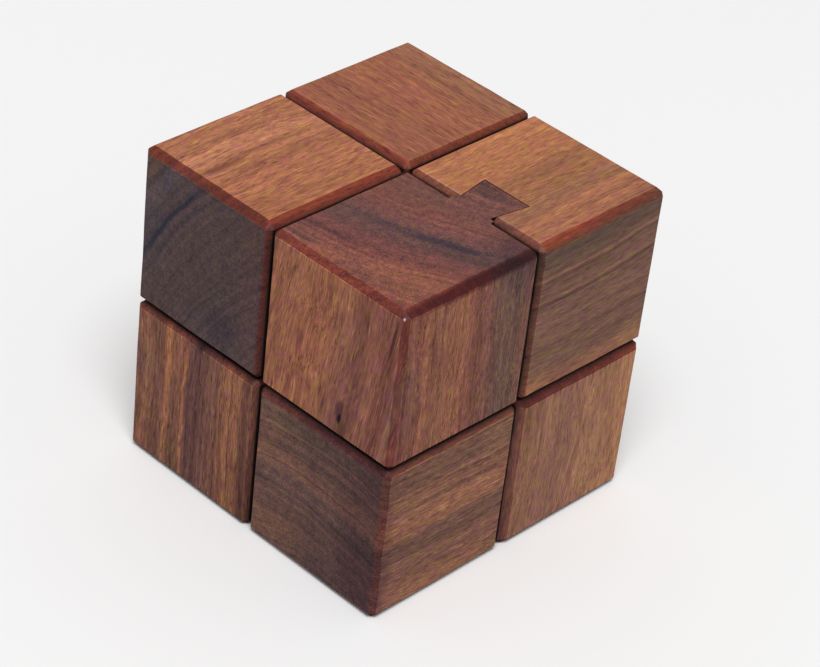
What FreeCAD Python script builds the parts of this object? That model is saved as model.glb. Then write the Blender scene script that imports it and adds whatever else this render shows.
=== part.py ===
import FreeCAD, Part
import Sketcher
import os

# A two by two by two cube made of eight bevelled hardwood cubes, each held to a
# neighbour by a through-cut sliding dovetail.  X runs right, Y runs back and Z runs
# up.  The cube stands on four of its cubes, and the origin is the middle of the
# square that they stand on.

# ------------------------------------------------------------------ driving sizes
# Millimetres, and degrees for the angle.
SIZES = [
    ("cube_edge", 30.0),        # each cube, face to face
    ("seam", 0.3),              # air between the faces of two neighbouring cubes
    ("bevel_leg", 1.0),         # sanded bevel along every edge of a cube
    ("tongue_neck", 7.3),       # width of a tongue where it leaves its cube
    ("groove_land", 2.46),      # wood left between the two grooves of a cube
    ("flank_angle", 9.0),       # how far each flank of a tongue leans outwards
    ("bevel_stop", 1.0),        # a bevel ends this far short of a tongue
    ("flank_clearance", 0.15),  # between a flank and the groove, across the groove
    ("tip_clearance", 0.2),     # between the tip and the floor of the groove
]

# Where each cube stands: right or left, back or front, upper or lower.
CUBES = {
    "key_cube": (+1, -1, "upper"),
    "right_top_cube": (+1, +1, "upper"),
    "back_top_cube": (-1, +1, "upper"),
    "left_top_cube": (-1, -1, "upper"),
    "front_bottom_cube": (+1, -1, "lower"),
    "right_bottom_cube": (+1, +1, "lower"),
    "back_bottom_cube": (-1, +1, "lower"),
    "left_bottom_cube": (-1, -1, "lower"),
}

# Each dovetail: the cube with the tongue, the face that the tongue stands on, the
# cube with the groove, and the axis along which the tongue slides.  Tongues that
# leave right and left slide back and front, those that leave back and front slide
# up and down, and those that leave up and down slide right and left, so no
# sliding cube meets the tongue of another.
DOVETAILS = [
    ("key_cube", "+Y", "right_top_cube", "Z"),
    ("right_top_cube", "-X", "back_top_cube", "Y"),
    ("back_bottom_cube", "+Z", "back_top_cube", "X"),
    ("back_bottom_cube", "-Y", "left_bottom_cube", "Z"),
    ("left_top_cube", "-Z", "left_bottom_cube", "X"),
    ("back_bottom_cube", "+X", "right_bottom_cube", "Y"),
    ("front_bottom_cube", "+Y", "right_bottom_cube", "Z"),
]

# A profile is drawn on the plane square to its slide: the plane, and the axes of
# the cube that lie across and up that plane.
PROFILE_PLANES = {
    "X": ("YZ_Plane", "Y", "Z"),
    "Y": ("XZ_Plane", "X", "Z"),
    "Z": ("XY_Plane", "X", "Y"),
}
OPPOSITE = {"+": "-", "-": "+"}

# Geometry that every sketch has: its two axes and its origin.
ACROSS_AXIS = -1
UP_AXIS = -2
SKETCH_ORIGIN = (-1, 1)
START_POINT = 1
END_POINT = 2

# ------------------------------------------------------------------ shared lengths
HALF_EDGE = "sizes.cube_edge / 2"
PITCH = "(sizes.cube_edge + sizes.seam)"
LEAN = "tan(sizes.flank_angle * 1 deg)"

# A groove is cut as deep as its cube allows.  Where a cube has two, the land parts
# the floor of the one from the widest place of the other, so the depth follows from
# half the cube, half the mouth, the land and the lean of the flanks.  The tongue
# stands as tall as the groove is deep, less the clearance at its tip.
GROOVE_MOUTH = "(sizes.tongue_neck + 2 * sizes.flank_clearance)"
GROOVE_DEPTH = (
    f"(({HALF_EDGE} + sizes.seam - {GROOVE_MOUTH} / 2 - sizes.groove_land) / (1 + {LEAN}))"
)
TONGUE_HEIGHT = f"({GROOVE_DEPTH} - sizes.tip_clearance)"

# A dovetail's profile goes outwards from its cube as stations: how far each lies
# from the middle of the cube, and how wide the profile is there.  The tongue starts
# inside the cube, where it fills the bevel that stops short of it on either side.
TONGUE_STATIONS = [
    ("root", f"{HALF_EDGE} - sizes.bevel_leg", "sizes.tongue_neck + 2 * sizes.bevel_stop"),
    ("shoulder", HALF_EDGE, "sizes.tongue_neck + 2 * sizes.bevel_stop"),
    ("neck", HALF_EDGE, "sizes.tongue_neck"),
    (
        "tip",
        f"{HALF_EDGE} + {TONGUE_HEIGHT}",
        f"sizes.tongue_neck + 2 * {TONGUE_HEIGHT} * {LEAN}",
    ),
]

# The groove is the tongue grown by its clearances.  It is drawn from the tongue's
# own neck, one seam outside the face that it is cut into.
GROOVE_STATIONS = [
    (
        "floor",
        f"{HALF_EDGE} + sizes.seam - {GROOVE_DEPTH}",
        f"{GROOVE_MOUTH} + 2 * {GROOVE_DEPTH} * {LEAN}",
    ),
    ("mouth", f"{HALF_EDGE} + sizes.seam", GROOVE_MOUTH),
]

doc = FreeCAD.newDocument("dovetail_cube")


def make_sheet():
    sheet = doc.addObject("Spreadsheet::Sheet", "sizes")
    for row, (alias, number) in enumerate(SIZES, start=1):
        sheet.set(f"A{row}", alias)
        sheet.set(f"B{row}", str(number))
        sheet.setAlias(f"B{row}", alias)
    doc.recompute()
    return sheet


def length_of(expression):
    """The value that an expression has now, for a first drawing near its place."""
    value = sheet.evalExpression(expression)
    return float(getattr(value, "Value", value))


def new_sketch(body, name, plane_role):
    """An empty sketch on one of the body's own origin planes."""
    planes = [item for item in body.Origin.OriginFeatures if item.Role == plane_role]
    sketch = body.newObject("Sketcher::SketchObject", name)
    sketch.AttachmentSupport = [(planes[0], "")]
    sketch.MapMode = "FlatFace"
    return sketch


def draw_outline(sketch, corners):
    """A closed outline of straight lines, line i leaving corner i."""
    following = corners[1:] + corners[:1]
    for start, end in zip(corners, following):
        sketch.addGeometry(Part.LineSegment(start, end), False)
    for index in range(len(corners)):
        after = (index + 1) % len(corners)
        sketch.addConstraint(
            Sketcher.Constraint("Coincident", index, END_POINT, after, START_POINT)
        )


def add_size(sketch, name, kind, first, second, expression):
    """A named distance from the first point to the second, bound to the sheet."""
    value = length_of(expression)
    index = sketch.addConstraint(Sketcher.Constraint(kind, *first, *second, value))
    sketch.renameConstraint(index, name)
    sketch.setExpression(f"Constraints.{name}", expression)


def draw_stations(sketch, outward_axis, sign, stations):
    """An outline symmetric about one sketch axis, its corners in pairs at stations."""
    along_sketch = outward_axis == ACROSS_AXIS
    near_side = []
    far_side = []
    for _, distance, width in stations:
        out = sign * length_of(distance)
        half = length_of(width) / 2
        if along_sketch:
            near_side.append(FreeCAD.Vector(out, -half, 0))
            far_side.append(FreeCAD.Vector(out, half, 0))
        else:
            near_side.append(FreeCAD.Vector(-half, out, 0))
            far_side.append(FreeCAD.Vector(half, out, 0))
    corners = near_side + far_side[::-1]
    draw_outline(sketch, corners)

    out_kind = "DistanceX" if along_sketch else "DistanceY"
    width_kind = "DistanceY" if along_sketch else "DistanceX"
    for index, (name, distance, width) in enumerate(stations):
        near = (index, START_POINT)
        far = (len(corners) - 1 - index, START_POINT)
        sketch.addConstraint(Sketcher.Constraint("Symmetric", *near, *far, outward_axis))
        ends = (SKETCH_ORIGIN, near) if sign > 0 else (near, SKETCH_ORIGIN)
        add_size(sketch, f"{name}_distance", out_kind, *ends, distance)
        add_size(sketch, f"{name}_width", width_kind, near, far, width)


def add_block(body):
    """The plain cube about the body's own middle, with every edge bevelled."""
    sketch = new_sketch(body, f"{body.Name}_square", "XY_Plane")
    half = length_of(HALF_EDGE)
    turns = [(-1, -1), (1, -1), (1, 1), (-1, 1)]
    draw_outline(sketch, [FreeCAD.Vector(half * x, half * y, 0) for x, y in turns])
    for line, direction in enumerate(["Horizontal", "Vertical", "Horizontal", "Vertical"]):
        sketch.addConstraint(Sketcher.Constraint(direction, line))
    lower_left = (0, START_POINT)
    lower_right = (1, START_POINT)
    upper_right = (2, START_POINT)
    sketch.addConstraint(
        Sketcher.Constraint("Symmetric", *lower_left, *upper_right, *SKETCH_ORIGIN)
    )
    add_size(sketch, "width", "DistanceX", lower_left, lower_right, "sizes.cube_edge")
    add_size(sketch, "depth", "DistanceY", lower_right, upper_right, "sizes.cube_edge")

    pad = body.newObject("PartDesign::Pad", f"{body.Name}_block")
    pad.Profile = sketch
    pad.SideType = "Symmetric"
    pad.setExpression("Length", "sizes.cube_edge")
    doc.recompute()

    bevel = body.newObject("PartDesign::Chamfer", f"{body.Name}_bevel")
    bevel.Base = (pad, ["Edge1"])
    bevel.UseAllEdges = True
    bevel.setExpression("Size", "sizes.bevel_leg")
    doc.recompute()


def profile_sketch(body, name, side, slide_axis, stations):
    """A dovetail profile that leaves the body on one side, square to its slide."""
    plane_role, across, up = PROFILE_PLANES[slide_axis]
    outward_axis = ACROSS_AXIS if side[1] == across else UP_AXIS
    sign = 1 if side[0] == "+" else -1
    sketch = new_sketch(body, name, plane_role)
    draw_stations(sketch, outward_axis, sign, stations)
    return sketch


def feature_name(body, kind, side):
    words = {"+X": "right", "-X": "left", "+Y": "back", "-Y": "front", "+Z": "top", "-Z": "bottom"}
    return f"{body.Name}_{words[side]}_{kind}"


def add_tongue(body, side, slide_axis):
    """A tongue as long as the cube, its ends flush with the cube's faces."""
    name = feature_name(body, "tongue", side)
    sketch = profile_sketch(body, f"{name}_profile", side, slide_axis, TONGUE_STATIONS)
    tongue = body.newObject("PartDesign::Pad", name)
    tongue.Profile = sketch
    tongue.SideType = "Symmetric"
    tongue.setExpression("Length", "sizes.cube_edge")
    doc.recompute()


def add_groove(body, side, slide_axis):
    """A groove right through the cube, open at both ends."""
    name = feature_name(body, "groove", side)
    volume_before = body.Shape.Volume
    sketch = profile_sketch(body, f"{name}_profile", side, slide_axis, GROOVE_STATIONS)
    groove = body.newObject("PartDesign::Pocket", name)
    groove.Profile = sketch
    groove.SideType = "Symmetric"
    groove.Type = "ThroughAll"
    doc.recompute()
    if not body.Shape.Volume < volume_before:
        raise RuntimeError(f"{name} cuts nothing")


def place_cube(body, right, back, level):
    """Half a pitch from the middle each way, standing on the floor or on a seam."""
    body.setExpression("Placement.Base.x", f"{right} * {PITCH} / 2")
    body.setExpression("Placement.Base.y", f"{back} * {PITCH} / 2")
    height = HALF_EDGE if level == "lower" else f"{HALF_EDGE} + {PITCH}"
    body.setExpression("Placement.Base.z", height)


def make_cube(name):
    body = doc.addObject("PartDesign::Body", name)
    body.Label = name
    add_block(body)
    for tongue_cube, side, groove_cube, slide_axis in DOVETAILS:
        if name == tongue_cube:
            add_tongue(body, side, slide_axis)
        if name == groove_cube:
            add_groove(body, OPPOSITE[side[0]] + side[1], slide_axis)
    place_cube(body, *CUBES[name])
    return body


def check_document():
    """Stop before anything is written if a feature failed or a sketch is loose."""
    for item in doc.Objects:
        if "Invalid" in item.State or "Error" in item.State:
            raise RuntimeError(f"{item.Label} failed: {item.State}")
        if item.TypeId == "Sketcher::SketchObject" and item.solve() != 0:
            raise RuntimeError(f"{item.Label} does not solve")


sheet = make_sheet()
cubes = [make_cube(name) for name in CUBES]
doc.recompute()
check_document()
for cube in cubes:
    if cube.Shape.isNull() or not cube.Shape.isValid() or len(cube.Shape.Solids) != 1:
        raise RuntimeError(f"{cube.Label} is not one sound solid")

os.makedirs("parts", exist_ok=True)
for cube in cubes:
    cube.Shape.exportStep(f"parts/{cube.Label}.step")
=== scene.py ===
import math

import bmesh
import bpy
from mathutils import Euler, Matrix, Vector, noise


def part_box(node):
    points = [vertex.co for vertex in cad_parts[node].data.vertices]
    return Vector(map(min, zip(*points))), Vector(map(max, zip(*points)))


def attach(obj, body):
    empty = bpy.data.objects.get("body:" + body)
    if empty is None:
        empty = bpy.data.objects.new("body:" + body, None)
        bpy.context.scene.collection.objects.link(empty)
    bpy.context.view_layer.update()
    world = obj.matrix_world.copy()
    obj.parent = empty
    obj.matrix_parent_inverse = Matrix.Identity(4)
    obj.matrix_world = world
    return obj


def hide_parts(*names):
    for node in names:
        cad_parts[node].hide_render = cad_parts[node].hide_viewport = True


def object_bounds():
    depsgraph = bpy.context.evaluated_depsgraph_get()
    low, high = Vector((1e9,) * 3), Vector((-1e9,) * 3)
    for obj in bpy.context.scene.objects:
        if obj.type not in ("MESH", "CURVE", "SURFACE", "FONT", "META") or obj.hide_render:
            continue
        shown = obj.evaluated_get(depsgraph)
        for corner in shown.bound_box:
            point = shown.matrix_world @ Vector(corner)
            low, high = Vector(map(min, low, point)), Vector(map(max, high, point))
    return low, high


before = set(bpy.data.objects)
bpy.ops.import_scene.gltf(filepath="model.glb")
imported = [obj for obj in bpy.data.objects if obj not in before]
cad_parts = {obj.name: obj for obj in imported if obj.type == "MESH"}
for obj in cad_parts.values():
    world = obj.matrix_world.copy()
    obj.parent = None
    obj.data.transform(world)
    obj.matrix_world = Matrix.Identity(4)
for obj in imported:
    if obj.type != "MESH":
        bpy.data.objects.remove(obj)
cad_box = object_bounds()

# ---------------------------------------------------------------- the view
# The photograph looks down on the front corner of the cube from its upper right,
# with a long lens held a little askew.  The aim is the point of the view's axis
# nearest the middle of the cube.
VIEW_AZIMUTH = math.radians(41.11)
VIEW_ELEVATION = math.radians(34.84)
VIEW_ROLL = math.radians(6.85)
VIEW_DISTANCE = 0.4792
VIEW_AIM = Vector((0.00347, 0.00154, 0.02854))
VIEW_LENS = 125.2
VIEW_NEAREST = 0.01

towards_camera = Vector((
    math.sin(VIEW_AZIMUTH) * math.cos(VIEW_ELEVATION),
    -math.cos(VIEW_AZIMUTH) * math.cos(VIEW_ELEVATION),
    math.sin(VIEW_ELEVATION),
))
level_view = (-towards_camera).to_track_quat("-Z", "Y").to_matrix().to_4x4()
camera = bpy.data.objects.new("view", bpy.data.cameras.new("view"))
camera.data.lens = VIEW_LENS
camera.data.sensor_fit = "HORIZONTAL"
camera.data.clip_start = VIEW_NEAREST
camera.matrix_world = (
    Matrix.Translation(VIEW_AIM + VIEW_DISTANCE * towards_camera)
    @ level_view
    @ Matrix.Rotation(VIEW_ROLL, 4, "Z")
)
bpy.context.scene.collection.objects.link(camera)
bpy.context.scene.camera = camera

# ---------------------------------------------------------------- the eight cubes: their wood
# All eight cubes are cut from close-grained brown hardwood, each from its own
# board.  Growth rings bend round the heart of the tree, the fibres wander along the
# board, and short open pores show as dashes on the sides and as dots on the ends.
MILLIMETRE = 0.001
VECTOR = "NodeSocketVector"
VALUE = "NodeSocketFloat"
COLOUR = "NodeSocketColor"
low, high = cad_box
middle_of_puzzle = (Vector(low) + Vector(high)) / 2
half_width = (high[0] - low[0]) / 2


def new_group(name, inputs, outputs):
    """A shader node group with these sockets, and its two end nodes."""
    group = bpy.data.node_groups.new(name, "ShaderNodeTree")
    for direction, sockets in (("INPUT", inputs), ("OUTPUT", outputs)):
        for socket_name, kind in sockets.items():
            group.interface.new_socket(socket_name, in_out=direction, socket_type=kind)
    start = group.nodes.new("NodeGroupInput")
    end = group.nodes.new("NodeGroupOutput")
    return group, start, end


def feed(tree, value, entry):
    """Wire the value to a node's socket, or set it there where it is a constant."""
    if isinstance(value, bpy.types.NodeSocket):
        tree.links.new(value, entry)
    else:
        entry.default_value = value


def put(tree, kind, inputs=(), **settings):
    """A node with its settings made and its inputs wired or set."""
    node = tree.nodes.new(kind)
    for name, value in settings.items():
        setattr(node, name, value)
    for name, value in dict(inputs).items():
        feed(tree, value, node.inputs[name])
    return node


def maths(tree, operation, *values, clamp=False):
    """One step of arithmetic on numbers."""
    node = put(tree, "ShaderNodeMath", dict(enumerate(values)), operation=operation)
    node.use_clamp = clamp
    return node.outputs[0]


def vector_maths(tree, operation, *values, **named):
    """One step of arithmetic on vectors, of which a distance or a length is a number."""
    inputs = dict(enumerate(values)) | named
    node = put(tree, "ShaderNodeVectorMath", inputs, operation=operation)
    return node.outputs["Value" if operation in ("DISTANCE", "LENGTH") else "Vector"]


def slope(tree, value, start, stop, most=1.0, kind="SMOOTHSTEP"):
    """Nought where the value is at start, rising to the most where it is at stop."""
    inputs = {"Value": value, "From Min": start, "From Max": stop, "To Max": most}
    return put(tree, "ShaderNodeMapRange", inputs, interpolation_type=kind).outputs["Result"]


def stretched(tree, vector, across, along):
    """Board coordinates scaled for a pattern so fine across the grain and along it."""
    return vector_maths(tree, "MULTIPLY", vector, (across, across, along))


def speckle(tree, vector, seed, detail, roughness=0.55):
    """A soft random value about one half, different for every seed."""
    inputs = {"Vector": vector, "W": seed, "Scale": 1.0, "Detail": detail, "Roughness": roughness}
    return put(tree, "ShaderNodeTexNoise", inputs, noise_dimensions="4D").outputs


def socket(sockets, name):
    """The one in use of a Mix node's sockets with this name."""
    return next(s for s in sockets if s.name == name and s.enabled)


def tinted(tree, amount, colour, tint, blend="MULTIPLY"):
    """The colour, multiplied by the tint or replaced by it where the amount is one."""
    mix = put(tree, "ShaderNodeMix", data_type="RGBA", blend_type=blend)
    for name, value in (("Factor", amount), ("A", colour), ("B", tint)):
        feed(tree, value, socket(mix.inputs, name))
    return socket(mix.outputs, "Result")


def along_fibres(tree, board, seed, wander):
    """Board coordinates that follow the fibres as they wander along the board."""
    shift = (0.0, 0.0, 0.0)
    slow_bends = ((0.045, 0.03), 8.0)
    quick_bends = ((0.22, 0.11), 1.6)
    for fineness, millimetres in (slow_bends, quick_bends):
        bend = speckle(tree, stretched(tree, board, *fineness), seed, 1.0)["Color"]
        bend = vector_maths(tree, "SUBTRACT", bend, (0.5, 0.5, 0.5))
        bend = vector_maths(tree, "MULTIPLY", bend, (millimetres, millimetres, 0.0))
        shift = vector_maths(tree, "ADD", bend, shift)
    shift = vector_maths(tree, "SCALE", shift, Scale=wander)
    return vector_maths(tree, "ADD", board, shift)


def make_ring_group():
    """Where a point lies among the growth rings."""
    group, start, end = new_group(
        "growth_rings",
        {"Board": VECTOR, "Heart": VECTOR, "Seed": VALUE, "Wander": VALUE},
        {"Ring": VALUE},
    )
    board, heart, seed, wander = start.outputs[:4]
    flat = stretched(group, along_fibres(group, board, seed, wander), 1.0, 0.0)
    away = vector_maths(group, "DISTANCE", flat, heart)
    middle = vector_maths(group, "LENGTH", heart)
    feed(group, maths(group, "SUBTRACT", away, middle), end.inputs["Ring"])
    return group


# How fine each figure is, in cycles per millimetre across the grain and along it.
FINE_FIBRES = (3.4, 0.19)
BROAD_BANDS = (0.8, 0.045)
COOL_DRIFTS = (1.3, 0.45)
OLIVE_DRIFTS = (1.5, 0.6)
PORE_DASHES = (5.2, 0.24)
PALE_FLECKS = (4.2, 0.18)
GROWTH_LINES = 0.8
# The level of its noise at which each of these comes in, and that at which it is full.
COOL_PATCHES = (0.40, 0.60)
OLIVE_PATCHES = (0.48, 0.64)
OPEN_PORES = (0.60, 0.70)
PALE_FIBRES = (0.60, 0.72)
RUBBED_HIGHLIGHT_SPOTS = (0.46, 0.66)
# The darkest and the palest fibres beside the board's tone, on its sides and its ends.
DARKEST_ON_SIDES = (0.45, 0.40, 0.40, 1.0)
DARKEST_ON_ENDS = (0.37, 0.45, 0.52, 1.0)
PALEST_ON_SIDES = (1.57, 1.66, 1.60, 1.0)
PALEST_ON_ENDS = (1.65, 1.61, 1.48, 1.0)
# What each of these does to the colour of the wood.
COOL_TINT = (0.90, 0.75, 1.15, 1.0)
OLIVE_TINT = (0.93, 1.07, 0.78, 1.0)
PORE_TINT = (0.42, 0.38, 0.42, 1.0)
FLECK_TINT = (1.55, 1.62, 1.6, 1.0)
# A worn arris is made paler in patches, partly as wear and partly as a painted highlight.
RUBBED_HIGHLIGHT_TINT = (1.22, 1.16, 1.12, 1.0)
# Near-black painted shade, standing in for the shadow deep in the seams between the cubes.
PAINTED_SHADE_TINT = (0.04, 0.04, 0.05, 1.0)


def make_hardwood_group():
    """Oiled hardwood: streaks, pores, darker end grain, sanded bevels, painted highlight and shade."""
    group, start, end = new_group(
        "oiled_hardwood",
        {
            "Board": VECTOR,
            "Wander": VALUE,
            "Short": VALUE,
            "Ring": VALUE,
            "Tone": COLOUR,
            "End Tint": COLOUR,
            "Bevel Tint": COLOUR,
            "Seed": VALUE,
            "Streak": VALUE,
            "Pore": VALUE,
            "End": VALUE,
            "Bevel": VALUE,
            "Worn_Highlight": VALUE,
            "Painted Shade": VALUE,
        },
        {"Color": COLOUR, "Roughness": VALUE, "Height": VALUE},
    )
    board, wander, short, ring, tone, end_tint, bevel_tint = start.outputs[:7]
    seed, streak, pore, end_grain, bevel, worn_highlight, painted_shade = start.outputs[7:14]
    fibre = along_fibres(group, board, seed, wander)
    shorter = put(group, "ShaderNodeCombineXYZ", {"X": 1.0, "Y": 1.0, "Z": short}).outputs[0]
    short_fibre = vector_maths(group, "MULTIPLY", fibre, shorter)

    def figure(along, fineness, own_seed, detail, roughness=0.55):
        """One layer of the grain, unlike the others and unlike any other board's."""
        place = stretched(group, along, *fineness)
        return speckle(group, place, maths(group, "ADD", seed, own_seed), detail, roughness)["Fac"]

    fine = figure(short_fibre, FINE_FIBRES, own_seed=0.0, detail=3.0, roughness=0.68)
    broad = figure(fibre, BROAD_BANDS, own_seed=3.0, detail=2.0)
    lines = put(
        group,
        "ShaderNodeTexNoise",
        {"W": maths(group, "ADD", ring, seed), "Scale": GROWTH_LINES, "Detail": 3.0, "Roughness": 0.75},
        noise_dimensions="1D",
    ).outputs["Fac"]

    # Every point lies somewhere between the darkest and the palest fibre.
    halfway = 0.5
    fine_swing = 2.2
    broad_swing = 1.0
    line_swing = 0.9
    more_on_ends = 0.2
    line_swing = maths(group, "MULTIPLY_ADD", end_grain, more_on_ends, line_swing)
    swing = 0.0
    for layer, width in ((fine, fine_swing), (broad, broad_swing), (lines, line_swing)):
        off_half = maths(group, "SUBTRACT", layer, halfway)
        swing = maths(group, "MULTIPLY_ADD", off_half, width, swing)
    pale = maths(group, "MULTIPLY_ADD", swing, streak, halfway, clamp=True)
    darkest = tinted(group, end_grain, DARKEST_ON_SIDES, DARKEST_ON_ENDS, "MIX")
    palest = tinted(group, end_grain, PALEST_ON_SIDES, PALEST_ON_ENDS, "MIX")
    span = tinted(group, pale, darkest, palest, "MIX")
    colour = vector_maths(group, "MULTIPLY", tone, span)

    # Warm and cool drifts, finer across the grain than along it.
    cool = figure(fibre, COOL_DRIFTS, own_seed=7.0, detail=3.0)
    cool = slope(group, cool, *COOL_PATCHES, kind="LINEAR")
    colour = tinted(group, cool, colour, COOL_TINT)
    olive = figure(fibre, OLIVE_DRIFTS, own_seed=31.0, detail=3.0)
    olive = slope(group, olive, *OLIVE_PATCHES, kind="LINEAR")
    colour = tinted(group, olive, colour, OLIVE_TINT)

    # Pores: thin dark dashes along the fibres, dots where the fibres end.
    dashes = figure(short_fibre, PORE_DASHES, own_seed=13.0, detail=1.0)
    open_pore = slope(group, dashes, *OPEN_PORES)
    colour = tinted(group, maths(group, "MULTIPLY", open_pore, pore), colour, PORE_TINT)

    # A few pale fibres stand out among the rest.
    flecks = figure(short_fibre, PALE_FLECKS, own_seed=23.0, detail=1.0)
    fleck = slope(group, flecks, *PALE_FIBRES)
    colour = tinted(group, maths(group, "MULTIPLY", fleck, streak), colour, FLECK_TINT)

    # The ends of the fibres drink more oil, and the sander burns the bevels a little.
    colour = tinted(group, end_grain, colour, end_tint)
    colour = tinted(group, bevel, colour, bevel_tint)
    # The worn arrises are lightened in patches, partly as wear and partly as a painted highlight.
    rubbed_highlight = slope(group, broad, *RUBBED_HIGHLIGHT_SPOTS)
    colour = tinted(group, maths(group, "MULTIPLY", worn_highlight, rubbed_highlight), colour, RUBBED_HIGHLIGHT_TINT)
    # Painted shade: the seams and the routed faces near the outside are darkened nearly to black, as
    # shadow in the grooves.
    colour = tinted(group, painted_shade, colour, PAINTED_SHADE_TINT)

    # The oil leaves a satin face, duller in the pores, which are sunk a little.
    satin = 0.45
    pore_dullness = 0.2
    fibre_dullness = 0.14
    pore_depth = 0.03
    fibre_height = 0.02
    rough = maths(group, "MULTIPLY_ADD", open_pore, pore_dullness, satin)
    rough = maths(group, "MULTIPLY_ADD", fine, fibre_dullness, rough)
    dent = maths(group, "MULTIPLY", open_pore, -pore_depth)
    height = maths(group, "MULTIPLY_ADD", fine, fibre_height, dent)
    feed(group, colour, end.inputs["Color"])
    feed(group, rough, end.inputs["Roughness"])
    feed(group, height, end.inputs["Height"])
    return group


def make_painted_shade_group(centre, reach):
    """Painted shade at the bottom of the grooves between the cubes, near the outside."""
    group, start, end = new_group(
        "painted_groove_shade",
        {"Place": VECTOR, "Groove": VALUE, "Routed": VALUE},
        {"Painted Shade": VALUE},
    )
    place, groove, routed = start.outputs[:3]
    away = vector_maths(group, "SUBTRACT", place, centre)
    away = vector_maths(group, "ABSOLUTE", away)
    away = vector_maths(group, "SCALE", away, Scale=1 / MILLIMETRE)
    x, y, z = put(group, "ShaderNodeSeparateXYZ", {0: away}).outputs
    nearest = maths(group, "MINIMUM", maths(group, "MINIMUM", x, y), z)
    furthest = maths(group, "MAXIMUM", maths(group, "MAXIMUM", x, y), z)
    # Where the painted shadow line and the softer painted shade each begin and are full,
    # in millimetres from the middle of the seam.
    shade_line_reach = (0.60, 0.24)
    soft_shade_reach = (1.3, 0.3)
    deepest_soft_shade = 0.55
    # How far the painted shade goes in, and how far it is full, from the puzzle's outside.
    ends_at = 2.7
    full_to = 1.2
    shade_line = slope(group, nearest, *shade_line_reach)
    soft_shade = slope(group, nearest, *soft_shade_reach, most=deepest_soft_shade, kind="LINEAR")
    shallow = slope(group, furthest, reach - ends_at, reach - full_to)
    seam_shade = maths(group, "MULTIPLY", maths(group, "MAXIMUM", shade_line, soft_shade), groove)
    # The routed faces near the outside take the painted shade in full as well.
    painted_shade = maths(group, "MULTIPLY", maths(group, "MAXIMUM", seam_shade, routed), shallow)
    feed(group, painted_shade, end.inputs["Painted Shade"])
    return group


def make_patch_group():
    """An uneven patch about a point of the board: a knot, a stain, or how far a vein runs."""
    group, start, end = new_group(
        "patch_of_board",
        {"Board": VECTOR, "Centre": VECTOR, "Size": VECTOR, "Ragged": VALUE},
        {"Mask": VALUE},
    )
    board, centre, size, ragged = start.outputs[:4]
    ragged_edge = (1.6, 0.4)
    away = vector_maths(group, "SUBTRACT", board, centre)
    away = vector_maths(group, "DIVIDE", away, size)
    away = vector_maths(group, "LENGTH", away)
    uneven = speckle(group, stretched(group, board, *ragged_edge), seed=5.0, detail=3.0)["Fac"]
    away = maths(group, "MULTIPLY_ADD", maths(group, "SUBTRACT", uneven, 0.5), ragged, away)
    edge = 1.0
    full = 0.4
    feed(group, slope(group, away, edge, full), end.inputs["Mask"])
    return group


def make_vein_group():
    """A thin line along one growth ring."""
    group, start, end = new_group(
        "vein",
        {"Ring": VALUE, "At": VALUE, "Width": VALUE},
        {"Mask": VALUE},
    )
    ring, at, width = start.outputs[:3]
    off = maths(group, "DIVIDE", maths(group, "ABSOLUTE", maths(group, "SUBTRACT", ring, at)), width)
    edge = 1.0
    full = 0.2
    feed(group, slope(group, off, edge, full), end.inputs["Mask"])
    return group


ring_group = make_ring_group()
hardwood_group = make_hardwood_group()
patch_group = make_patch_group()
vein_group = make_vein_group()
painted_shade_group = make_painted_shade_group(middle_of_puzzle, half_width / MILLIMETRE)


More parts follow.
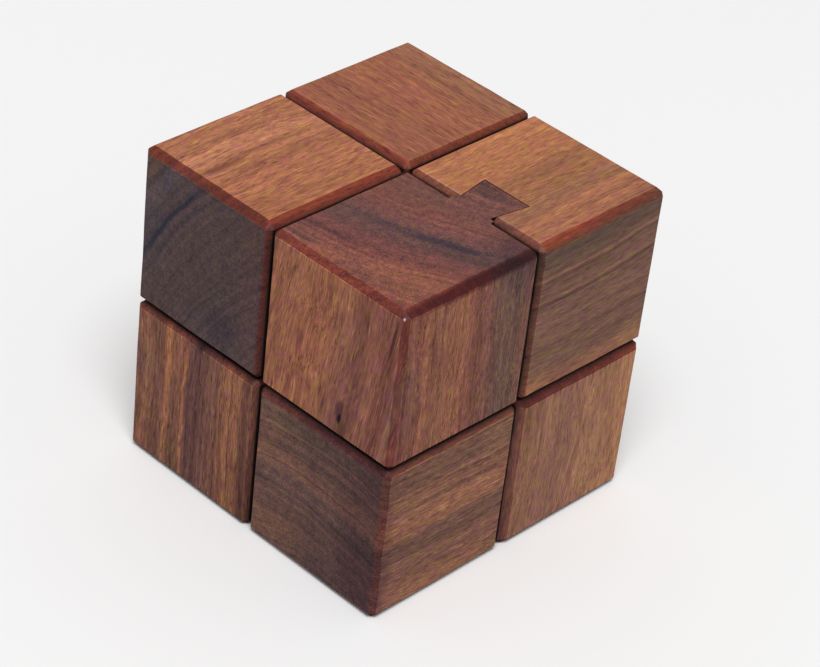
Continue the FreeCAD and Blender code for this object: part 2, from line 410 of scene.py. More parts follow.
def board_material(
    name,
    middle,
    turn,
    heart,
    seed,
    tones,
    end_tint=(0.42, 0.48, 0.68),
    bevel_tint=(0.56, 0.33, 0.36),
    wander=1.0,
    short=1.6,
    streak=1.0,
    pore=0.8,
    veins=(),
    marks=(),
):
    """The wood of one cube: its board's place and turn, its heart and its bands.

    The turn sets the board's length, its own Z, along the cube's grain, and the seed
    makes its figure its own.  Tones are pairs of a ring's distance from the middle of
    the cube and the colour of the wood there.  Wander is how far the fibres stray, short
    how much shorter they are than the longest, and streak and pore how strongly they and
    the pores show.  A vein has its ring, width and tint, and the middle and size of the
    patch that it shows in.  A mark has its middle, size, raggedness and tint, and is
    multiplied in unless it says otherwise.  The heart and the middles of patches are
    given from the middle of the cube, along the puzzle's axes, and sizes along the
    board's, all in millimetres.
    """
    material = bpy.data.materials.new(name)
    material.use_nodes = True
    tree = material.node_tree
    tree.nodes.clear()
    place = put(tree, "ShaderNodeTexCoord").outputs["Object"]
    scale = (MILLIMETRE, MILLIMETRE, MILLIMETRE)
    board = put(
        tree,
        "ShaderNodeMapping",
        {"Vector": place, "Location": middle, "Rotation": turn, "Scale": scale},
        vector_type="TEXTURE",
    ).outputs[0]
    onto_board = turn.to_matrix().inverted()
    ring = put(
        tree,
        "ShaderNodeGroup",
        {"Board": board, "Heart": onto_board @ Vector(heart), "Seed": seed, "Wander": wander},
        node_tree=ring_group,
    ).outputs["Ring"]

    first = tones[0][0]
    last = tones[-1][0]
    ramp = put(tree, "ShaderNodeValToRGB", {"Fac": slope(tree, ring, first, last, kind="LINEAR")})
    stops = ramp.color_ramp.elements
    while len(stops) < len(tones):
        stops.new(1.0)
    for stop, (distance, colour) in zip(stops, tones):
        stop.position = (distance - first) / (last - first)
        stop.color = (*colour, 1.0)

    painted = {}
    for mask in ("End", "Bevel", "Worn_Highlight", "Groove", "Routed"):
        painted[mask] = put(tree, "ShaderNodeAttribute", attribute_name=mask.lower()).outputs["Fac"]
    # Painted shade for the seams between the cubes and the routed faces near the outside.
    painted_shade = put(
        tree,
        "ShaderNodeGroup",
        {"Place": place, "Groove": painted["Groove"], "Routed": painted["Routed"]},
        node_tree=painted_shade_group,
    ).outputs["Painted Shade"]
    wood = put(
        tree,
        "ShaderNodeGroup",
        {
            "Board": board,
            "Wander": wander,
            "Short": short,
            "Ring": ring,
            "Tone": ramp.outputs["Color"],
            "End Tint": (*end_tint, 1.0),
            "Bevel Tint": (*bevel_tint, 1.0),
            "Seed": seed,
            "Streak": streak,
            "Pore": pore,
            "End": painted["End"],
            "Bevel": painted["Bevel"],
            "Worn_Highlight": painted["Worn_Highlight"],
            "Painted Shade": painted_shade,
        },
        node_tree=hardwood_group,
    )

    def patch_mask(centre, size, ragged):
        """How strongly a patch of this board shows."""
        inputs = {"Board": board, "Centre": onto_board @ Vector(centre), "Size": size, "Ragged": ragged}
        return put(tree, "ShaderNodeGroup", inputs, node_tree=patch_group).outputs["Mask"]

    colour = wood.outputs["Color"]
    vein_ragged = 0.6
    for ring_at, width, tint, centre, size in veins:
        line = {"Ring": ring, "At": ring_at, "Width": width}
        vein = put(tree, "ShaderNodeGroup", line, node_tree=vein_group).outputs["Mask"]
        amount = maths(tree, "MULTIPLY", vein, patch_mask(centre, size, vein_ragged))
        colour = tinted(tree, amount, colour, (*tint, 1.0))
    for centre, size, ragged, tint, *blend in marks:
        colour = tinted(tree, patch_mask(centre, size, ragged), colour, (*tint, 1.0), *blend)

    low_gloss = 0.25
    bump = put(tree, "ShaderNodeBump", {"Height": wood.outputs["Height"], "Distance": MILLIMETRE})
    surface = put(
        tree,
        "ShaderNodeBsdfPrincipled",
        {
            "Base Color": colour,
            "Roughness": wood.outputs["Roughness"],
            "Specular IOR Level": low_gloss,
            "Normal": bump.outputs["Normal"],
        },
    )
    put(tree, "ShaderNodeOutputMaterial", {"Surface": surface.outputs[0]})
    return material


# ---------------------------------------------------------------- the eight cubes: their shape
# Each cube is sawn square, bevelled on a sander and rubbed down by hand, so its
# bevels are uneven, some wider than others, and their arrises are soft.
SEAM = 0.3 * MILLIMETRE
HALF_CUBE = (half_width - SEAM / 2) / 2
CUBE_OFFSET = (half_width + SEAM / 2) / 2
BEVEL = 1.0 * MILLIMETRE
ARRIS = 0.13 * MILLIMETRE
ARRIS_SEGMENTS = 3
UNEVEN = 0.14 * MILLIMETRE
UNEVEN_REACH = 7.0 * MILLIMETRE
WAVE_OF_FACE = 3.1
WAVE_OF_EDGE = 5.7
CROSS_CUTS = (-12.1, -9.2, -6.2, -2.6, 0.0, 2.6, 6.2, 9.2, 12.1)
TOUCHING = 0.02 * MILLIMETRE
SQUARE = 0.9999
UP = Vector((0, 0, 1))
BACK = Vector((0, 1, 0))
RIGHT = Vector((1, 0, 0))
ALONG_X = Euler((0.0, math.radians(90), 0.0))
ALONG_Y = Euler((math.radians(-90), 0.0, 0.0))
ALONG_Z = Euler((0.0, 0.0, 0.0))


def middle_of(right, back, up):
    """The middle of a cube, half a pitch from the middle of the puzzle each way."""
    return middle_of_puzzle + Vector((right, back, up)) * CUBE_OFFSET


def middle_near(point):
    """The middle of the cube that the point lies in, its tongues left out."""
    return middle_of(*(math.copysign(1, value) for value in point - middle_of_puzzle))


def sand_bevels(solid, middle, routed, wider):
    """Slide the arrises of the bevels over the cube's faces, where nothing is routed.

    Wider lists a face's direction, the direction of the bevel at its edge, and by how
    many millimetres more than the others that bevel reaches over the face.
    """
    near = TOUCHING / 2
    ways = [way * side for way in (RIGHT, BACK, UP) for side in (1, -1)]
    slides = []
    for vert in solid.verts:
        if any(face[routed] > 0.0 for face in vert.link_faces):
            continue
        place = vert.co - middle
        slide = Vector()
        for over in ways:
            if abs(place.dot(over) - HALF_CUBE) > near:
                continue
            for edge in ways:
                if abs(place.dot(edge) - (HALF_CUBE - BEVEL)) > near:
                    continue
                extra = sum(more for face, side, more in wider if face == over and side == edge)
                own_wave = over * WAVE_OF_FACE + edge * WAVE_OF_EDGE
                wave = noise.noise(vert.co / UNEVEN_REACH + own_wave)
                slide -= edge * (extra * MILLIMETRE + wave * UNEVEN)
        slides.append((vert, slide))
    for vert, slide in slides:
        vert.co += slide


def mark_faces(solid, middle, grain):
    """Note on each face how far it is end grain, bevel, routed, or in a groove (for painted seam
    shade).

    The layers for the worn arrises and their painted highlight, made later, and the routed faces come
    back.
    """
    layers = solid.faces.layers.float
    end = layers.new("end")
    bevel = layers.new("bevel")
    worn_highlight = layers.new("worn_highlight")
    routed = layers.new("routed")
    groove = layers.new("groove")
    flat_bevel = 1.0
    upright_bevel = 0.65
    shade_on_bevel_beside_groove = 0.8
    end_sharpness = 4
    # A bevel leans evenly between two ways, or at a corner between three.
    least_lean = 0.5
    most_lean = 0.8
    solid.normal_update()
    for face in solid.faces:
        place = face.calc_center_median()
        steepest = max(abs(value) for value in face.normal)
        is_bevel = least_lean < steepest < most_lean
        is_flat = abs(face.normal.z) > least_lean
        is_square = steepest > SQUARE
        off_middle = abs((place - middle).dot(face.normal))
        off_puzzle = abs((place - middle_of_puzzle).dot(face.normal))
        on_cube = is_square and abs(off_middle - HALF_CUBE) < TOUCHING
        is_outside = is_square and off_puzzle > half_width - TOUCHING
        face[end] = abs(face.normal.dot(grain)) ** end_sharpness
        face[routed] = 0.0 if is_bevel or on_cube else 1.0
        # The groove mask sets how much painted seam shade a face takes.
        face[groove] = 0.0 if is_outside else 1.0
        if is_bevel:
            face[bevel] = flat_bevel if is_flat else upright_bevel
        if is_bevel and is_flat:
            face[groove] = shade_on_bevel_beside_groove
    return worn_highlight, routed


def sanded_cube(node_name, grain, wider):
    """A copy of the node with its bevels sanded and its faces marked for the finish."""
    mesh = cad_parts[node_name].data.copy()
    mesh.name = f"{node_name}_wood"
    solid = bmesh.new()
    solid.from_mesh(mesh)
    bmesh.ops.remove_doubles(solid, verts=solid.verts, dist=MILLIMETRE / 1000)
    bmesh.ops.dissolve_limit(
        solid, angle_limit=math.radians(1), verts=solid.verts, edges=solid.edges
    )
    lowest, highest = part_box(node_name)
    middle = middle_near((lowest + highest) / 2)
    worn_highlight, routed = mark_faces(solid, middle, grain)

    for way in (RIGHT, BACK, UP):
        for cut in CROSS_CUTS:
            bmesh.ops.bisect_plane(
                solid,
                geom=solid.verts[:] + solid.edges[:] + solid.faces[:],
                plane_co=middle + way * cut * MILLIMETRE,
                plane_no=way,
            )
    sand_bevels(solid, middle, routed, wider)
    solid.normal_update()
    sharp_angle = 0.3
    outer = [
        edge
        for edge in solid.edges
        if edge.is_convex
        and edge.calc_face_angle() > sharp_angle
        and all(face[routed] == 0.0 for face in edge.link_faces)
    ]
    made = bmesh.ops.bevel(
        solid,
        geom=outer,
        offset=ARRIS,
        offset_type="OFFSET",
        affect="EDGES",
        segments=ARRIS_SEGMENTS,
        profile=0.5,
        material=-1,
        clamp_overlap=True,
    )
    # The arris faces take the worn look, partly wear and partly a painted highlight.
    for face in made["faces"]:
        face[worn_highlight] = 1.0
        face.smooth = True
    solid.to_mesh(mesh)
    solid.free()
    return mesh


def dress(node_name, grain, material, wider=()):
    """Put the finished surface in the place of its node, on the node's body."""
    piece = bpy.data.objects.new(f"{node_name}_piece", sanded_cube(node_name, grain, wider))
    piece.data.materials.clear()
    piece.data.materials.append(material)
    bpy.context.scene.collection.objects.link(piece)
    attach(piece, node_name)
    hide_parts(node_name)


# ---------------------------------------------------------------- key cube
# The front upper cube, with its grain upright: its top and its tongue, sawn from the
# same block, are end grain, purple brown with a blue-black vein.  A pin knot shows
# low on its front.  The tongue slides down the groove of the right top cube.
key_tones = [
    (-24, (0.36, 0.158, 0.10)),
    (-17, (0.36, 0.158, 0.098)),
    (-9, (0.40, 0.160, 0.092)),
    (-5.5, (0.33, 0.152, 0.10)),
    (-3.4, (0.26, 0.142, 0.096)),
    (-0.5, (0.25, 0.132, 0.09)),
    (2.0, (0.32, 0.134, 0.092)),
    (5.6, (0.37, 0.138, 0.088)),
    (7.2, (0.46, 0.188, 0.098)),
    (9.4, (0.46, 0.190, 0.098)),
    (11, (0.38, 0.162, 0.089)),
    (14.5, (0.44, 0.170, 0.094)),
    (16.5, (0.37, 0.142, 0.088)),
    (18, (0.34, 0.122, 0.08)),
    (21, (0.29, 0.108, 0.073)),
]
key_veins = [
    (-2.6, 1.0, (0.66, 0.74, 0.88), (0, 3, 15), (18, 18, 6)),
    (-2.5, 1.1, (0.50, 0.59, 0.80), (4.5, 5, 15), (8, 8, 6)),
    (-0.6, 2.0, (0.74, 0.78, 0.84), (10, 4, 15), (8, 6, 6)),
    (4.6, 0.7, (0.56, 0.62, 0.74), (-12, -8, 15), (11, 7, 6)),
    (8.5, 0.5, (0.62, 0.68, 0.78), (-13, -12.5, 15), (7, 5, 6)),
    (-19.6, 0.9, (0.66, 0.78, 0.88), (0.5, 19.5, 15), (7, 6, 6)),
]
key_marks = [
    # The pin knot: a dark halo, then its core.
    ((3.2, -15, -9.4), (1.2, 1.2, 3.0), 0.9, (0.50, 0.45, 0.56)),
    ((3.4, -15, -11.0), (0.55, 0.55, 1.3), 0.8, (0.010, 0.008, 0.010), "MIX"),
    # Beside the front arris: a dark pore and a pale fibre, then its rubbed length
    # and the chip out of its top corner, both paler partly as wear and partly as
    # a painted highlight.
    ((12.9, -15, 9.0), (0.5, 0.5, 5.0), 0.8, (0.45, 0.42, 0.50)),
    ((14.0, -15, 10.6), (0.16, 0.16, 3.4), 0.3, (1.7, 1.6, 1.6)),
    ((14.6, -14.6, -1), (1.1, 1.1, 40), 0.1, (1.10, 1.34, 1.24)),
    ((14.4, -14.7, 14.2), (0.32, 0.32, 0.75), 0.4, (0.82, 0.68, 0.62), "MIX"),
    # Darker wood at the left of the tongue and behind it on the top.
    ((-1.9, 20.8, 15), (5.0, 2.5, 6.0), 0.6, (0.62, 0.68, 0.70)),
    ((-9, 10, 15), (9, 7, 3), 0.8, (0.88, 0.95, 0.92)),
    # Two dark specks high on the right side, and the darker bevel above it.
    ((15, -10.6, 11.2), (0.22, 0.22, 0.6), 0.4, (0.2, 0.18, 0.2)),
    ((15, -11.8, 10.7), (0.18, 0.18, 0.4), 0.4, (0.25, 0.22, 0.25)),
    ((14.6, 1, 14.6), (1.7, 26, 1.7), 0.3, (0.38, 0.205, 0.26)),
    # Darker wood: the top's far edge, the right side's far corner and edges, and the
    # left of the top; paler wood towards the top's front corner.
    ((2, 13.5, 15), (22, 6, 3), 0.6, (0.88, 0.96, 0.99)),
    ((14, 13, 13), (7, 7, 9), 0.6, (0.66, 0.66, 0.78)),
    ((15, 13.5, 0), (4, 5, 10), 0.6, (0.90, 0.87, 0.88)),
    ((15, -13, -2), (4, 5, 11), 0.6, (0.87, 0.95, 1.04)),
    ((-12, -12, 15), (5, 5, 3), 0.6, (0.84, 0.90, 1.0)),
    ((8, -8, 15), (9, 7, 3), 0.8, (1.09, 1.11, 1.0)),
    # The front: dark at its foot, pale high up; dark again at the top's far corner.
    ((5, -15, -12), (8, 4, 6), 0.6, (0.86, 0.88, 0.90)),
    ((-1, -15, 12), (8, 4, 4), 0.6, (1.09, 1.10, 1.06)),
    ((12, 12, 15), (8, 8, 1.5), 0.6, (0.80, 0.82, 0.90)),
    # Two broad upright bands of the front, one pale and one dark.
    ((-8.5, -15, 0), (11, 4, 36), 0.5, (1.22, 1.15, 1.05)),
    ((4, -15, -4), (5, 4, 22), 0.6, (0.80, 0.82, 0.92)),
]
key_wood = board_material(
    "key_cube_wood",
    middle=middle_of(1, -1, 1),
    turn=Euler((0.0, math.radians(8.0), 0.0)),
    heart=(-31, 85, 0),
    seed=3.0,
    tones=key_tones,
    end_tint=(0.565, 0.465, 0.54),
    bevel_tint=(0.50, 0.26, 0.29),
    wander=0.7,
    short=1.25,
    streak=0.9,
    veins=key_veins,
    marks=key_marks,
)
dress("key_cube", UP, key_wood, wider=[(UP, RIGHT, 0.6), (UP, -BACK, 0.15)])

# ---------------------------------------------------------------- right top cube
# The right upper cube, of light brown wood with its grain running back, so that its
# right side shows long lines of the growth rings.  It is grooved for the key cube's
# tongue, and its own tongue slides in the back top cube.
right_top_tones = [
    (-22, (0.46, 0.205, 0.115)),
    (-19.5, (0.44, 0.195, 0.11)),
    (-17.5, (0.28, 0.145, 0.092)),
    (-12, (0.33, 0.17, 0.105)),
    (-7.4, (0.30, 0.155, 0.10)),
    (-2.6, (0.28, 0.145, 0.092)),
    (0.2, (0.19, 0.115, 0.075)),
    (2.0, (0.20, 0.12, 0.075)),
    (3.4, (0.38, 0.145, 0.068)),
    (6.0, (0.41, 0.16, 0.072)),
    (7.8, (0.325, 0.140, 0.068)),
    (9.4, (0.385, 0.155, 0.062)),
    (12.2, (0.36, 0.143, 0.062)),
    (14, (0.44, 0.172, 0.066)),
    (18, (0.48, 0.185, 0.072)),
    (22, (0.49, 0.190, 0.074)),
]
right_top_veins = [
    (-2.5, 0.45, (1.35, 1.28, 1.20), (15, 0, 9), (30, 30, 40)),
    (-3.2, 0.35, (0.78, 0.80, 0.80), (15, 0, 9), (30, 30, 40)),
    (-6.0, 0.5, (1.28, 1.22, 1.15), (15, 0, 4), (30, 30, 40)),
    (-6.8, 0.3, (0.64, 0.65, 0.68), (15, 0, 4), (30, 30, 40)),
    (-14.0, 0.3, (0.72, 0.72, 0.74), (15, 0, -4), (30, 30, 40)),
]
right_top_marks = [
    # The bevels next to the key cube and to the right, then paler fibres at the foot.
    ((0, -14.5, 14.5), (26, 1.25, 1.25), 0.1, (1.08, 1.52, 2.1)),
    ((14.3, 0, 14.6), (1.5, 1.5, 26), 0.1, (1.08, 0.84, 0.72)),
    ((15, 12, -12), (4, 6, 6), 0.6, (1.16, 1.26, 1.08)),
    ((15, -12, -12), (4, 4, 6), 0.6, (1.18, 1.20, 1.03)),
]
right_top_wood = board_material(
    "right_top_cube_wood",
    middle=middle_of(1, 1, 1),
    turn=Euler((math.radians(-87.8), 0.0, 0.0)),
    heart=(60, 0, -60),
    seed=11.0,
    tones=right_top_tones,
    bevel_tint=(0.72, 0.42, 0.40),
    wander=0.35,
    short=1.8,
    streak=0.64,
    pore=0.6,
    veins=right_top_veins,
    marks=right_top_marks,
)
dress("right_top_cube", BACK, right_top_wood, wider=[(UP, RIGHT, 0.6)])

# ---------------------------------------------------------------- back top cube
# The back upper cube, of plain red-brown wood with its grain from left to right.  It
# slides on a tongue of the back bottom cube, and is grooved for the right top cube's.
back_top_tones = [
    (-22, (0.33, 0.115, 0.054)),
    (0, (0.36, 0.125, 0.059)),
    (6, (0.32, 0.112, 0.054)),
    (9, (0.37, 0.128, 0.059)),
    (14.5, (0.35, 0.122, 0.058)),
    (17.5, (0.32, 0.130, 0.063)),
    (22, (0.33, 0.135, 0.067)),
]
back_top_marks = [
    # A darker streak, and a paler bevel at the right.
    ((-8, -4, 15), (4, 4, 9), 0.6, (0.91, 0.90, 0.90)),
    ((14.5, 0, 14.5), (1.2, 40, 1.2), 0.1, (1.14, 1.12, 0.98)),
]
back_top_wood = board_material(
    "back_top_cube_wood",
    middle=middle_of(-1, 1, 1),
    turn=ALONG_X,
    heart=(0, -70, -50),
    seed=19.0,
    tones=back_top_tones,
    bevel_tint=(0.74, 0.45, 0.45),
    wander=0.6,
    streak=0.7,
    marks=back_top_marks,
)
dress("back_top_cube", RIGHT, back_top_wood, wider=[(UP, -BACK, 0.35)])

# ---------------------------------------------------------------- left top cube
# The left upper cube, of orange-brown wood with its grain running back, so that its
# front is blue-grey end grain with one dark vein.  Its tongue slides in the left
# bottom cube.
left_top_tones = [
    (-22, (0.38, 0.15, 0.070)),
    (0, (0.40, 0.148, 0.062)),
    (3.5, (0.42, 0.155, 0.066)),
    (5.5, (0.46, 0.168, 0.073)),
    (8.6, (0.42, 0.155, 0.070)),
    (11.4, (0.43, 0.166, 0.073)),
    (12.2, (0.54, 0.215, 0.10)),
    (13.8, (0.54, 0.215, 0.10)),
    (14.8, (0.43, 0.165, 0.073)),
    (22, (0.43, 0.163, 0.073)),
]
left_top_veins = [
    (8.2, 0.65, (0.46, 0.56, 0.74), (-7, -15, 4), (14, 17, 3.0)),
    (8.4, 1.7, (0.80, 0.88, 0.98), (-7, -15, 4), (14, 17, 3.0)),
    (6.3, 0.7, (0.76, 0.82, 0.92), (-5, -15, 4), (13, 13, 3.0)),
    (9.4, 0.5, (0.62, 0.60, 0.62), (-2.5, -9, 15), (3, 3, 6)),
]
left_top_marks = [
    # Dark smudges on the end grain, and a dark fleck on the top.
    ((5.5, -15, -10), (4.5, 4.5, 3.0), 0.9, (0.74, 0.72, 0.82)),
    ((-9, -15, 11), (3.5, 3.0, 3.0), 0.9, (0.80, 0.88, 0.95)),
    ((-2.4, -8.5, 15), (1.1, 3.0, 6.0), 1.2, (0.68, 0.62, 0.64)),
    # The bevels: right of the front, right of the top, and front of the top.
    ((14.5, -14.5, 0), (1.4, 40, 1.4), 0.1, (0.72, 0.70, 1.00)),
    ((14.2, 0, 14.6), (1.7, 1.7, 40), 0.1, (1.26, 1.20, 1.18)),
    ((0, -14.6, 14.4), (40, 1.5, 1.5), 0.1, (0.87, 0.86, 0.86)),
    # The end grain: bluer at its left and foot, warmer in its corner and at its right.
    ((-12, -15, 0), (5, 9, 3), 0.7, (0.89, 1.01, 1.06)),
    ((2, -15, -12), (12, 4, 3), 0.6, (1.05, 1.06, 1.10)),
    ((-13, -15, 13), (4, 4, 3), 0.6, (1.20, 1.10, 0.90)),
    ((12.5, -15, 0), (5, 30, 3), 0.6, (1.13, 0.99, 0.93)),
]
left_top_wood = board_material(
    "left_top_cube_wood",
    middle=middle_of(-1, -1, 1),
    turn=ALONG_Y,
    heart=(120, 0, -90),
    seed=27.0,
    tones=left_top_tones,
    end_tint=(0.308, 0.53, 1.12),
    bevel_tint=(0.47, 0.25, 0.265),
    wander=0.7,
    short=1.9,
    streak=0.74,
    veins=left_top_veins,
    marks=left_top_marks,
)
left_top_wider = [(UP, RIGHT, 0.7), (UP, -BACK, 0.35)]
dress("left_top_cube", BACK, left_top_wood, wider=left_top_wider)

# ---------------------------------------------------------------- front bottom cube
# The front lower cube, which stands still while the others slide: dark brown wood
# with its grain running back and end grain to the front.  Its tongue guides the right
# bottom cube.
front_bottom_tones = [
    (-18, (0.497, 0.216, 0.113)),
    (-11, (0.454, 0.205, 0.108)),
    (-6.5, (0.389, 0.178, 0.106)),
    (-5.5, (0.324, 0.151, 0.097)),
    (-4.5, (0.378, 0.173, 0.104)),
    (-2.0, (0.281, 0.140, 0.090)),
    (0.8, (0.281, 0.140, 0.090)),
    (2.4, (0.508, 0.225, 0.119)),
    (5.0, (0.508, 0.221, 0.117)),
    (6.4, (0.400, 0.184, 0.108)),
    (10, (0.389, 0.178, 0.103)),
    (12, (0.281, 0.140, 0.086)),
    (18, (0.324, 0.151, 0.092)),
]
front_bottom_veins = [
    (5.8, 0.4, (0.68, 0.72, 0.78), (0, -15, 6), (20, 20, 60)),
    (3.0, 0.3, (0.78, 0.80, 0.84), (0, -15, 3), (20, 20, 60)),
    (8.8, 0.4, (0.78, 0.80, 0.80), (0, -15, 9), (20, 20, 60)),
    (-7.4, 0.4, (0.78, 0.80, 0.80), (0, -15, -7), (20, 20, 60)),
]
front_bottom_marks = [
    # The end grain: pale at its left, dark at its right and in its corner.
    ((12, -15, -8), (8, 8, 4), 0.6, (0.84, 0.84, 0.95)),
    ((-13, -15, -1), (13, 26, 4), 0.5, (1.27, 1.25, 1.15)),
    ((13.5, -15, -1), (11, 26, 4), 0.5, (0.75, 0.69, 0.77)),
    ((14, -15, -13), (6, 5, 4), 0.6, (0.84, 0.83, 0.97)),
    # Paler patches high on the front and on the right side, one darker at its foot.
    ((-7, -15, 12), (9, 5, 4), 0.6, (1.05, 1.11, 1.0)),
    ((15, 12, 12), (3, 6, 6), 0.6, (1.08, 1.13, 1.04)),
    ((15, 13, -13), (3, 4, 5), 0.6, (0.88, 0.93, 0.90)),
    # The bevel over the right side.
    ((14.5, 0, 14.5), (1.2, 1.2, 40), 0.1, (1.10, 1.15, 1.0)),
    # The dark foot of the end grain, the bevel over it, a pale corner and a pale band.
    ((4, -15, -12), (9, 6, 4), 0.5, (0.76, 0.80, 0.94)),
    ((0, -15, -14), (22, 5, 4), 0.5, (0.87, 0.90, 0.96)),
    ((0, -14.6, 14.4), (40, 1.4, 1.4), 0.1, (0.78, 0.71, 0.88)),
    ((-12, -15, 12), (5, 5, 4), 0.6, (1.25, 1.22, 1.20)),
    ((-2, -15, 0), (17, 3.2, 3), 0.5, (1.38, 1.34, 1.30)),
]
front_bottom_wood = board_material(
    "front_bottom_cube_wood",
    middle=middle_of(1, -1, -1),
    turn=ALONG_Y,
    heart=(0, 0, -60),
    seed=35.0,
    tones=front_bottom_tones,
    end_tint=(0.465, 0.53, 0.69),
    bevel_tint=(0.54, 0.33, 0.38),
    wander=0.6,
    short=2.5,
    streak=0.94,
    veins=front_bottom_veins,
    marks=front_bottom_marks,
)
dress("front_bottom_cube", BACK, front_bottom_wood, wider=[(-BACK, UP, 0.3)])

# ---------------------------------------------------------------- right bottom cube
# The right lower cube, of pinkish brown wood with its grain upright and wide bevels.
# It slides up the front bottom cube's tongue, and is grooved for that one and for a
# tongue of the back bottom cube.
right_bottom_tones = [
    (0, (0.44, 0.20, 0.115)),
    (10, (0.54, 0.235, 0.125)),
    (11.5, (0.48, 0.22, 0.125)),
    (13.6, (0.50, 0.232, 0.135)),
    (15.0, (0.42, 0.20, 0.125)),
    (16.6, (0.50, 0.235, 0.14)),
    (19, (0.55, 0.255, 0.15)),
    (22, (0.54, 0.25, 0.145)),
]
right_bottom_marks = [
    # Darker wood at the left, paler at the right, a dark corner, and the left bevel.
    ((15, -14, 0), (4, 8, 30), 0.4, (0.82, 0.83, 0.78)),
    ((15, 10, -3), (4, 13, 34), 0.4, (1.15, 1.24, 1.11)),
    ((15, -13, 12), (4, 6, 6), 0.6, (0.83, 0.81, 0.79)),
    ((14.6, -14.5, 0), (1.4, 1.4, 40), 0.1, (1.0, 1.09, 1.38)),
]
right_bottom_wood = board_material(
    "right_bottom_cube_wood",
    middle=middle_of(1, 1, -1),
    turn=ALONG_Z,
    heart=(-70, 30, 0),
    seed=43.0,
    tones=right_bottom_tones,
    bevel_tint=(0.40, 0.18, 0.20),
    wander=0.7,
    short=1.4,
    streak=0.66,
    marks=right_bottom_marks,
)
right_bottom_wider = [(RIGHT, UP, 0.45), (RIGHT, -BACK, 0.7)]
dress("right_bottom_cube", UP, right_bottom_wood, wider=right_bottom_wider)

# ---------------------------------------------------------------- left bottom cube
# The left lower cube, with its grain upright, cut where pale and dark bands lie side
# by side.  It slides up a tongue of the back bottom cube, and is grooved for that one
# and for the left top cube's.
left_bottom_tones = [
    (-16, (0.22, 0.09, 0.060)),
    (-11.5, (0.22, 0.088, 0.058)),
    (-9.6, (0.46, 0.195, 0.098)),
    (-6.8, (0.47, 0.200, 0.100)),
    (-5.2, (0.29, 0.126, 0.080)),
    (-3.0, (0.27, 0.118, 0.080)),
    (0, (0.20, 0.087, 0.070)),
    (2.6, (0.24, 0.105, 0.078)),
    (4.0, (0.33, 0.140, 0.085)),
    (6.4, (0.31, 0.130, 0.082)),
    (7.6, (0.52, 0.22, 0.108)),
    (8.8, (0.30, 0.13, 0.080)),
    (11, (0.30, 0.13, 0.080)),
    (13, (0.40, 0.17, 0.092)),
    (16, (0.30, 0.13, 0.080)),
]
left_bottom_veins = [
    (3.2, 0.6, (2.5, 2.2, 1.7), (-2, -15, -2), (20, 20, 20)),
    (8.0, 0.4, (1.3, 1.2, 1.1), (-7, -15, -6), (20, 20, 16)),
    (-8.4, 0.3, (0.5, 0.5, 0.5), (8, -15, 0), (20, 20, 20)),
    (1.8, 0.5, (0.6, 0.6, 0.7), (-2, -15, -2), (20, 20, 20)),
]
left_bottom_marks = [
    # A dark nick in the top bevel, then paler and darker lengths of the bands.
    ((1.3, -15, 14.5), (0.9, 2.0, 1.6), 0.6, (0.5, 0.5, 0.6)),
    ((-4, -15, 11), (5, 4, 9), 0.6, (1.22, 1.19, 1.06)),
    ((-5, -15, -13), (5, 4, 9), 0.6, (0.79, 0.85, 0.78)),
    ((11, -15, -12), (7, 4, 12), 0.6, (0.85, 0.84, 0.84)),
    ((-13, -15, 4), (4, 4, 5), 0.6, (0.82, 0.91, 0.95)),
    # The bevel at the right.
    ((14.5, -14.5, 0), (1.2, 1.2, 40), 0.1, (1.30, 1.48, 1.40)),
]
left_bottom_wood = board_material(
    "left_bottom_cube_wood",
    middle=middle_of(-1, -1, -1),
    turn=ALONG_Z,
    heart=(80, 0, 0),
    seed=51.0,
    tones=left_bottom_tones,
    bevel_tint=(0.64, 0.42, 0.47),
    wander=0.5,
    short=1.9,
    streak=0.92,
    pore=1.0,
    veins=left_bottom_veins,
    marks=left_bottom_marks,
)
dress("left_bottom_cube", UP, left_bottom_wood)

# ---------------------------------------------------------------- back bottom cube
# The back lower cube, which the photograph hides: dark brown wood with its grain from
# left to right.  Three tongues sawn from its block guide the right bottom, back top
# and left bottom cubes.
back_bottom_tones = [
    (-18, (0.30, 0.12, 0.07)),
    (-6, (0.36, 0.14, 0.08)),
    (0, (0.20, 0.09, 0.06)),
    (5, (0.32, 0.13, 0.075)),
    (18, (0.34, 0.13, 0.07)),
]
back_bottom_wood = board_material(
    "back_bottom_cube_wood",
    middle=middle_of(-1, 1, -1),
    turn=ALONG_X,
    heart=(0, 60, 40),
    seed=59.0,
    tones=back_bottom_tones,
    streak=0.8,
)
dress("back_bottom_cube", RIGHT, back_bottom_wood)

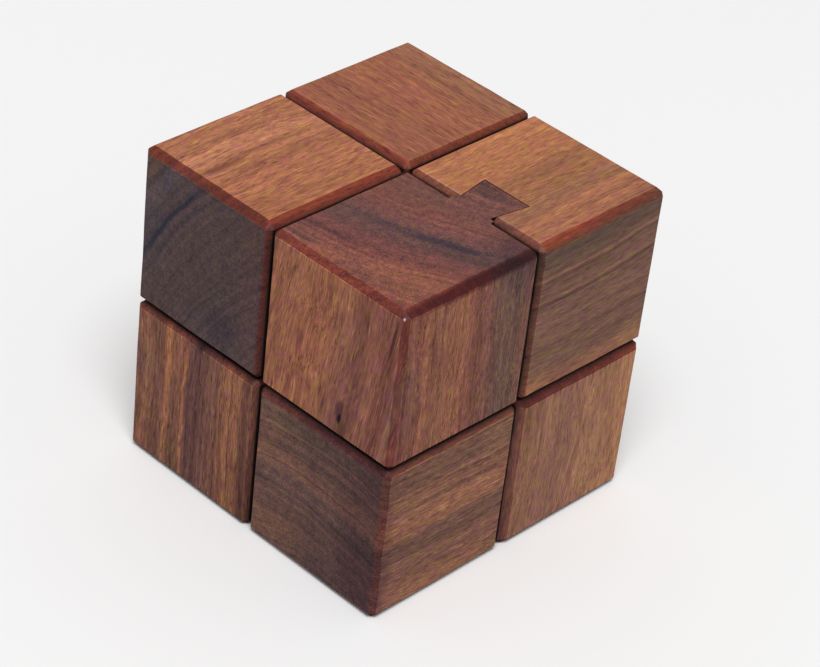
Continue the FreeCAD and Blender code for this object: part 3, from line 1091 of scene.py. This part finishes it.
# ---------------------------------------------------------------- table and light
# The cube stands on a plain matt white table top, under one broad soft lamp in a
# white room.
TABLE_SIZE = 6.0
HALF_WAY_UP = Vector((0, 0, 0.03))
LAMP_PLACE = Vector((0.92, -0.94, 2.70))
LAMP_SIZE = 1.5
LAMP_WATTS = 58.0
ROOM_BRIGHTNESS = 0.42


def table_material():
    """White to the camera, duller to the light that it throws back on the cube."""
    material = bpy.data.materials.new("white_table")
    material.use_nodes = True
    tree = material.node_tree
    tree.nodes.clear()
    seen = put(tree, "ShaderNodeBsdfDiffuse", {"Color": (0.96, 0.96, 0.96, 1.0)})
    felt = put(tree, "ShaderNodeBsdfDiffuse", {"Color": (0.30, 0.29, 0.28, 1.0)})
    path = put(tree, "ShaderNodeLightPath")
    mix = put(
        tree,
        "ShaderNodeMixShader",
        {0: path.outputs["Is Camera Ray"], 1: felt.outputs[0], 2: seen.outputs[0]},
    )
    put(tree, "ShaderNodeOutputMaterial", {"Surface": mix.outputs[0]})
    return material


table_mesh = bpy.data.meshes.new("table")
top = bmesh.new()
bmesh.ops.create_grid(top, x_segments=1, y_segments=1, size=TABLE_SIZE / 2)
top.to_mesh(table_mesh)
top.free()
table = bpy.data.objects.new("table", table_mesh)
table_mesh.materials.append(table_material())
bpy.context.scene.collection.objects.link(table)

lamp = bpy.data.lights.new("main_lamp", "AREA")
lamp.shape = "DISK"
lamp.size = LAMP_SIZE
lamp.energy = LAMP_WATTS
lamp_holder = bpy.data.objects.new("main_lamp", lamp)
aim = (HALF_WAY_UP - LAMP_PLACE).to_track_quat("-Z", "Y").to_matrix().to_4x4()
lamp_holder.matrix_world = Matrix.Translation(LAMP_PLACE) @ aim
bpy.context.scene.collection.objects.link(lamp_holder)

world = bpy.data.worlds.new("studio")
bpy.context.scene.world = world
world.use_nodes = True
backdrop = world.node_tree.nodes["Background"]
backdrop.inputs["Color"].default_value = (1.0, 1.0, 1.0, 1.0)
backdrop.inputs["Strength"].default_value = ROOM_BRIGHTNESS

bpy.context.scene.view_settings.view_transform = "Standard"
